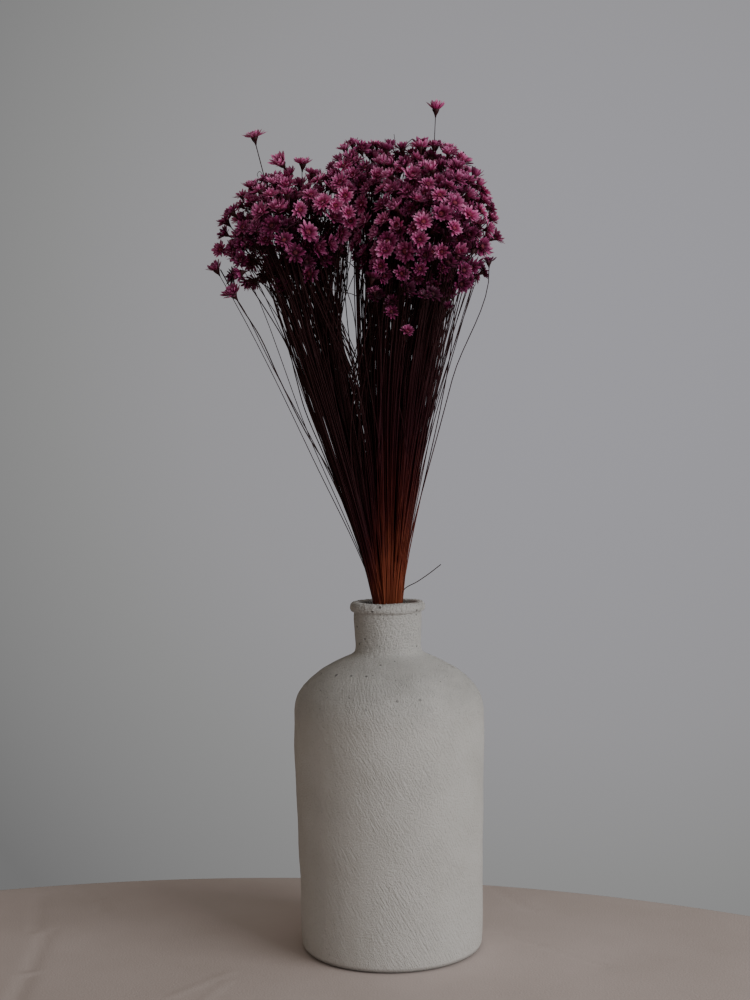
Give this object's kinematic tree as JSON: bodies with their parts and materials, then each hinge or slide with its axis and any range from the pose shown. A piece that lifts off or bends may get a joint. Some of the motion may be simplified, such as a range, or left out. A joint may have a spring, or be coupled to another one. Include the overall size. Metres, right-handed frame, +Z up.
{
  "type": "bunch of preserved star daisies in a bottle vase",
  "caption": "Bunch of dried, dyed small star daisies on long wiry stems, fanned in rounded lobes and standing loose in a narrow-necked bottle vase with a rough plaster coat.",
  "frame": {"origin": "centre of the vase's flat base, on the surface it stands on", "axes": "+Z up along the vase's axis, -Y towards the front as pictured, +X to the right seen from the front"},
  "size_m": [0.1564, 0.1004, 0.446],
  "materials": {
    "plaster_coat": "rough off-white plaster-like coat, brushed on",
    "tie": "natural jute twine",
    "dried_flower": "papery dried petals dyed mauve-pink, dark maroon stems turning rust towards their foot"
  },
  "bodies": {
    "root": {"vase": "plaster_coat", "tie_band": "tie", "tuft_01": "dried_flower", "tuft_02": "dried_flower", "tuft_03": "dried_flower", "tuft_04": "dried_flower", "tuft_05": "dried_flower", "tuft_06": "dried_flower", "tuft_07": "dried_flower", "tuft_08": "dried_flower", "tuft_09": "dried_flower", "tuft_10": "dried_flower", "tuft_11": "dried_flower", "tuft_12": "dried_flower", "tuft_13": "dried_flower", "tuft_14": "dried_flower", "tuft_15": "dried_flower", "tuft_16": "dried_flower", "tuft_17": "dried_flower", "tuft_18": "dried_flower", "tuft_19": "dried_flower", "tuft_20": "dried_flower", "tuft_21": "dried_flower", "tuft_22": "dried_flower", "tuft_23": "dried_flower", "tuft_24": "dried_flower", "tuft_25": "dried_flower", "tuft_26": "dried_flower", "tuft_27": "dried_flower", "tuft_28": "dried_flower", "tuft_29": "dried_flower", "tuft_30": "dried_flower", "tuft_31": "dried_flower", "tuft_32": "dried_flower", "tuft_33": "dried_flower", "tuft_34": "dried_flower", "tuft_35": "dried_flower", "tuft_36": "dried_flower", "tuft_37": "dried_flower", "tuft_38": "dried_flower"}
  },
  "joints": []
}
